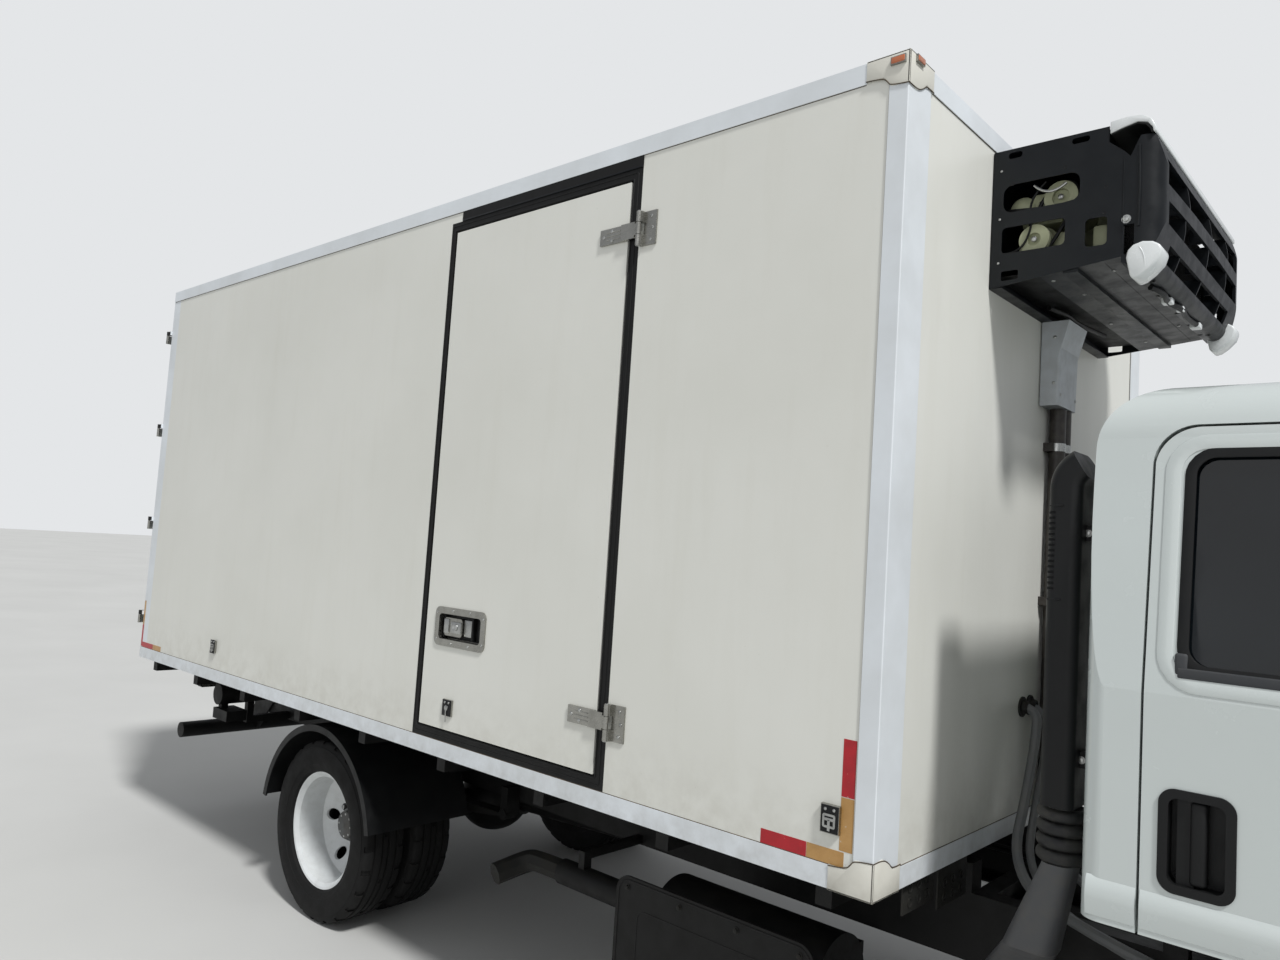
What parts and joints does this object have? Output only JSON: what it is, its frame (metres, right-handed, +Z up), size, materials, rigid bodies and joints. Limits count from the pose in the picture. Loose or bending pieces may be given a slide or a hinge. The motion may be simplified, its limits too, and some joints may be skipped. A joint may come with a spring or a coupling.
{
  "type": "refrigerated truck",
  "caption": "Two-axle refrigerated delivery truck with a tilting low cab, an insulated body with side and rear doors, and a nose-mounted cooling unit.",
  "frame": {"origin": "on the ground below the centre of the whole vehicle", "axes": "+X forward, +Y to the vehicle's left, +Z up"},
  "size_m": [7.064, 2.46, 3.1979],
  "materials": {
    "panel_white": "satin off-white composite panel skin",
    "rail_white": "satin white extruded rail",
    "cab_white": "gloss white paint",
    "wheel_white": "white wheel paint",
    "cap_cream": "moulded cream plastic",
    "unit_black": "blue-black powder coat",
    "unit_cap_white": "white moulded cover",
    "chassis_black": "black chassis paint",
    "cast_grey": "bare casting",
    "seal_black": "black rubber seal",
    "tyre_black": "worn road tyre",
    "plastic_black": "black moulded plastic",
    "plastic_grey": "mid-grey moulded plastic",
    "stainless": "brushed stainless steel",
    "tank_alloy": "plain aluminium sheet",
    "floor_alloy": "aluminium floor sheet",
    "dark_glass": "tinted safety glass",
    "lamp_clear": "clear lamp cover over a bright bowl",
    "seat_cloth": "grey woven seat cloth",
    "machine_khaki": "khaki machinery paint"
  },
  "bodies": {
    "chassis": {"frame_rails": "chassis_black", "frame_crossmembers": "chassis_black", "front_axle": "chassis_black", "leaf_springs": "chassis_black", "rear_axle": "chassis_black", "engine_block": "cast_grey", "fuel_tank": "tank_alloy", "exhaust_box": "chassis_black", "battery_box": "plastic_black", "mudguards": "plastic_black", "front_bumper": "cab_white", "underride_guard": "chassis_black", "body_subframe": "chassis_black", "body_floor": "floor_alloy", "body_roof": "panel_white", "body_front_wall": "panel_white", "body_left_wall": "panel_white", "body_right_wall": "panel_white", "body_doorway": "seal_black", "body_rails": "rail_white", "body_corner_caps": "cap_cream", "rear_portal": "rail_white", "body_fittings": "stainless", "cooler_housing": "unit_black", "cooler_grille": "unit_black", "cooler_caps": "unit_cap_white", "cooler_machinery": "machine_khaki", "cooler_evaporator": "unit_cap_white", "cooler_pipes": "cap_cream", "intake_lower_duct": "plastic_grey"},
    "cab": {"cab_shell": "cab_white", "cab_glass": "dark_glass", "cab_grille": "plastic_black", "cab_headlamps": "lamp_clear", "cab_seats": "seat_cloth", "cab_dashboard": "plastic_grey", "intake_duct": "plastic_black"},
    "side_door": {"side_door": "panel_white", "side_door_fittings": "stainless"},
    "cab_door_left": {"cab_door_left": "cab_white", "door_glass_left": "dark_glass", "door_fittings_left": "plastic_black"},
    "knuckle_left": {"knuckle_left": "cast_grey"},
    "front_wheel_left": {"front_tyre_left": "tyre_black", "front_rim_left": "wheel_white"},
    "rear_wheels_left": {"rear_tyres_left": "tyre_black", "rear_rims_left": "wheel_white"},
    "rear_door_left": {"rear_door_left": "panel_white", "rear_door_fittings_left": "stainless"},
    "cab_door_right": {"cab_door_right": "cab_white", "door_glass_right": "dark_glass", "door_fittings_right": "plastic_black"},
    "knuckle_right": {"knuckle_right": "cast_grey"},
    "front_wheel_right": {"front_tyre_right": "tyre_black", "front_rim_right": "wheel_white"},
    "rear_wheels_right": {"rear_tyres_right": "tyre_black", "rear_rims_right": "wheel_white"},
    "rear_door_right": {"rear_door_right": "panel_white", "rear_door_fittings_right": "stainless"}
  },
  "joints": [
    {"name": "cab_tilt", "type": "hinge", "parent": "chassis", "child": "cab", "pos_m": [3.445, 0, 0.83], "axis": [0, 1, 0], "range_deg": [0, 45]},
    {"name": "side_door_swing", "type": "hinge", "parent": "chassis", "child": "side_door", "pos_m": [0.458, -1.18, 2], "axis": [0, 0, 1], "range_deg": [0, 180]},
    {"name": "cab_door_left_swing", "type": "hinge", "parent": "cab", "child": "cab_door_left", "pos_m": [3.195, 1.015, 1.3], "axis": [0, 0, -1], "range_deg": [0, 70]},
    {"name": "steer_left", "type": "hinge", "parent": "chassis", "child": "knuckle_left", "pos_m": [2.422, 0.715, 0.4], "axis": [0, 0, 1], "range_deg": [-38, 38]},
    {"name": "front_wheel_left_spin", "type": "hinge", "parent": "knuckle_left", "child": "front_wheel_left", "pos_m": [2.422, 0.832, 0.4055], "axis": [0, 1, 0], "continuous": true},
    {"name": "rear_wheels_left_spin", "type": "hinge", "parent": "chassis", "child": "rear_wheels_left", "pos_m": [-1.448, 0.825, 0.4055], "axis": [0, 1, 0], "continuous": true},
    {"name": "rear_door_left_swing", "type": "hinge", "parent": "chassis", "child": "rear_door_left", "pos_m": [-3.506, 1.17, 2], "axis": [0, 0, -1], "range_deg": [0, 270]},
    {"name": "cab_door_right_swing", "type": "hinge", "parent": "cab", "child": "cab_door_right", "pos_m": [3.195, -1.015, 1.3], "axis": [0, 0, 1], "range_deg": [0, 70]},
    {"name": "steer_right", "type": "hinge", "parent": "chassis", "child": "knuckle_right", "pos_m": [2.422, -0.715, 0.4], "axis": [0, 0, 1], "range_deg": [-38, 38]},
    {"name": "front_wheel_right_spin", "type": "hinge", "parent": "knuckle_right", "child": "front_wheel_right", "pos_m": [2.422, -0.832, 0.4055], "axis": [0, 1, 0], "continuous": true},
    {"name": "rear_wheels_right_spin", "type": "hinge", "parent": "chassis", "child": "rear_wheels_right", "pos_m": [-1.448, -0.825, 0.4055], "axis": [0, 1, 0], "continuous": true},
    {"name": "rear_door_right_swing", "type": "hinge", "parent": "chassis", "child": "rear_door_right", "pos_m": [-3.506, -1.17, 2], "axis": [0, 0, 1], "range_deg": [0, 270]}
  ],
  "couplings": [
    {"joint": "steer_left", "follows": "steer_right", "ratio": 1}
  ]
}
